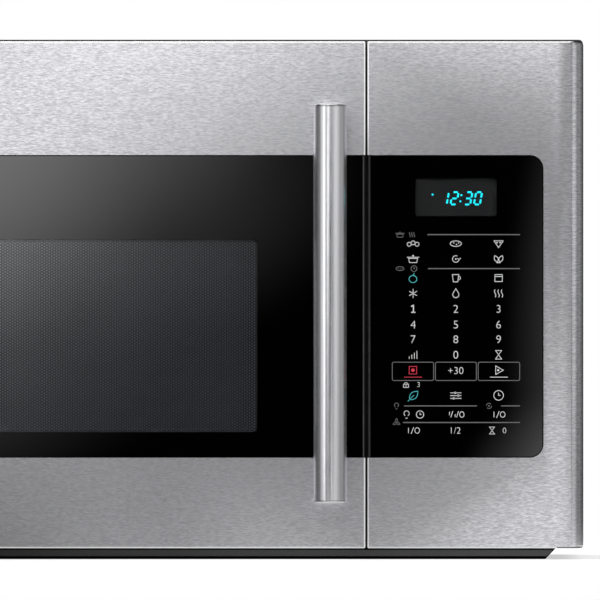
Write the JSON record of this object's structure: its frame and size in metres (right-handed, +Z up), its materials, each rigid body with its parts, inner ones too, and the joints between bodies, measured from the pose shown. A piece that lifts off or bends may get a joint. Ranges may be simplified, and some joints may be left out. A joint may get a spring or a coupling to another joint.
{
  "type": "over-the-range microwave oven",
  "caption": "Over-the-range microwave oven with a side-hinged glass door, tubular handle, touch control strip, turntable cavity and hood blower in a wide steel case.",
  "frame": {"origin": "under the middle of the whole object, on the surface that the base stands on", "axes": "+Z up, the door faces -Y, +X to the right as seen from the front"},
  "size_m": [0.759, 0.452, 0.43],
  "materials": {
    "brushed_facing": "horizontal brushed grain",
    "handle_steel": "satin tube",
    "cap_steel": "polished edge",
    "band_glass": "tinted, gloss",
    "clear_pane": "clear",
    "tray_glass": "clear pressed glass",
    "lens_glass": "frosted",
    "lamp_glass": "clear bulb",
    "door_plastic": "fine moulded",
    "screen_paint": "perforated, dark enamel",
    "case_paint": "fine textured coat",
    "base_paint": "fine textured coat",
    "cavity_enamel": "light enamel",
    "zinc_sheet": "galvanised",
    "fastener_steel": "zinc plated",
    "dark_plastic": "moulded",
    "white_plastic": "moulded",
    "grille_plastic": "moulded",
    "carbon": "granular filter bed",
    "filter_aluminium": "expanded mesh",
    "motor_steel": "steel shell",
    "core_steel": "laminated stack",
    "winding_copper": "enamelled wire",
    "magnetron_metal": "fins and yoke",
    "capacitor_can": "drawn can",
    "board_green": "coated laminate",
    "mica": "mica sheet",
    "spring_wire": "spring wire",
    "display_dark": "dark display",
    "bush_plastic": "acetal",
    "cord_rubber": "moulded"
  },
  "bodies": {
    "cabinet": {"front_frame": "zinc_sheet", "oven_cavity": "cavity_enamel", "left_side_panel": "case_paint", "right_side_panel": "case_paint", "top_panel": "case_paint", "rear_panel": "zinc_sheet", "base_plate": "base_paint", "component_tray": "zinc_sheet", "case_fasteners": "fastener_steel", "power_cord_bush": "cord_rubber", "vent_grille": "grille_plastic", "charcoal_filter": "carbon", "cooktop_lamp_lenses": "lens_glass", "cooktop_lamps": "lamp_glass", "blower_housings": "zinc_sheet", "blower_motor": "motor_steel", "turntable_motor": "motor_steel", "waveguide": "zinc_sheet", "waveguide_cover": "mica", "magnetron": "magnetron_metal", "transformer_core": "core_steel", "transformer_windings": "winding_copper", "hv_capacitor": "capacitor_can", "hv_diode": "dark_plastic", "noise_filter_board": "board_green", "cooling_fan_shroud": "dark_plastic", "cooling_fan_motor": "motor_steel", "cavity_lamp": "zinc_sheet", "upper_hinge": "zinc_sheet", "lower_hinge": "zinc_sheet", "latch_body": "dark_plastic", "interlock_switches": "dark_plastic", "control_panel_skin": "brushed_facing", "control_panel_glass": "band_glass", "control_panel_carrier": "door_plastic", "display_module": "display_dark", "control_board": "board_green"},
    "door": {"door_skin": "brushed_facing", "door_glass": "band_glass", "door_frame": "door_plastic", "door_screen": "screen_paint", "door_inner_window": "clear_pane", "door_choke_cover": "door_plastic", "latch_spring": "spring_wire", "hinge_bushes": "bush_plastic", "handle_tube": "handle_steel", "handle_end_caps": "cap_steel", "handle_posts": "handle_steel", "handle_screws": "fastener_steel"},
    "latch": {"door_latch": "dark_plastic"},
    "turntable": {"turntable_coupler": "white_plastic", "glass_tray": "tray_glass"},
    "roller_carriage": {"roller_ring": "white_plastic"},
    "roller_1": {"roller_wheel_1": "white_plastic"},
    "roller_2": {"roller_wheel_2": "white_plastic"},
    "roller_3": {"roller_wheel_3": "white_plastic"},
    "blower": {"blower_rotor": "dark_plastic"},
    "cooling_fan": {"cooling_fan_blade": "dark_plastic"},
    "left_grease_filter": {"grease_filter_left": "filter_aluminium"},
    "right_grease_filter": {"grease_filter_right": "filter_aluminium"}
  },
  "joints": [
    {"name": "door_hinge", "type": "hinge", "parent": "cabinet", "child": "door", "pos_m": [-0.3685, -0.153, 0.2055], "axis": [0, 0, -1], "range_deg": [0, 110]},
    {"name": "latch_slide", "type": "slide", "parent": "door", "child": "latch", "axis": [0, 0, 1], "range_m": [0, 0.003], "stiffness_N_per_m": 400, "springref_m": -0.005, "deforming": ["latch_spring"]},
    {"name": "turntable_spin", "type": "hinge", "parent": "cabinet", "child": "turntable", "pos_m": [-0.085, 0.045, 0.098], "axis": [0, 0, 1], "continuous": true},
    {"name": "roller_ring_spin", "type": "hinge", "parent": "cabinet", "child": "roller_carriage", "pos_m": [-0.085, 0.045, 0.098], "axis": [0, 0, 1], "continuous": true},
    {"name": "roller_1_spin", "type": "hinge", "parent": "roller_carriage", "child": "roller_1", "pos_m": [-0.085, 0.15, 0.098], "axis": [0, 1, 0], "continuous": true},
    {"name": "roller_2_spin", "type": "hinge", "parent": "roller_carriage", "child": "roller_2", "pos_m": [-0.17593, -0.0075, 0.098], "axis": [-0.866, -0.5, 0], "continuous": true},
    {"name": "roller_3_spin", "type": "hinge", "parent": "roller_carriage", "child": "roller_3", "pos_m": [0.00593, -0.0075, 0.098], "axis": [0.866, -0.5, 0], "continuous": true},
    {"name": "blower_spin", "type": "hinge", "parent": "cabinet", "child": "blower", "pos_m": [0, 0.166, 0.37], "axis": [1, 0, 0], "continuous": true},
    {"name": "cooling_fan_spin", "type": "hinge", "parent": "cabinet", "child": "cooling_fan", "pos_m": [0.27725, 0.211, 0.251], "axis": [0, 1, 0], "continuous": true},
    {"name": "left_grease_filter_slide", "type": "slide", "parent": "cabinet", "child": "left_grease_filter", "axis": [0, 1, 0], "range_m": [0, 0.007]},
    {"name": "right_grease_filter_slide", "type": "slide", "parent": "cabinet", "child": "right_grease_filter", "axis": [0, 1, 0], "range_m": [0, 0.007]}
  ],
  "couplings": [
    {"joint": "roller_ring_spin", "follows": "turntable_spin", "ratio": 0.5},
    {"joint": "roller_1_spin", "follows": "turntable_spin", "ratio": -6.8182},
    {"joint": "roller_2_spin", "follows": "turntable_spin", "ratio": -6.8182},
    {"joint": "roller_3_spin", "follows": "turntable_spin", "ratio": -6.8182}
  ]
}
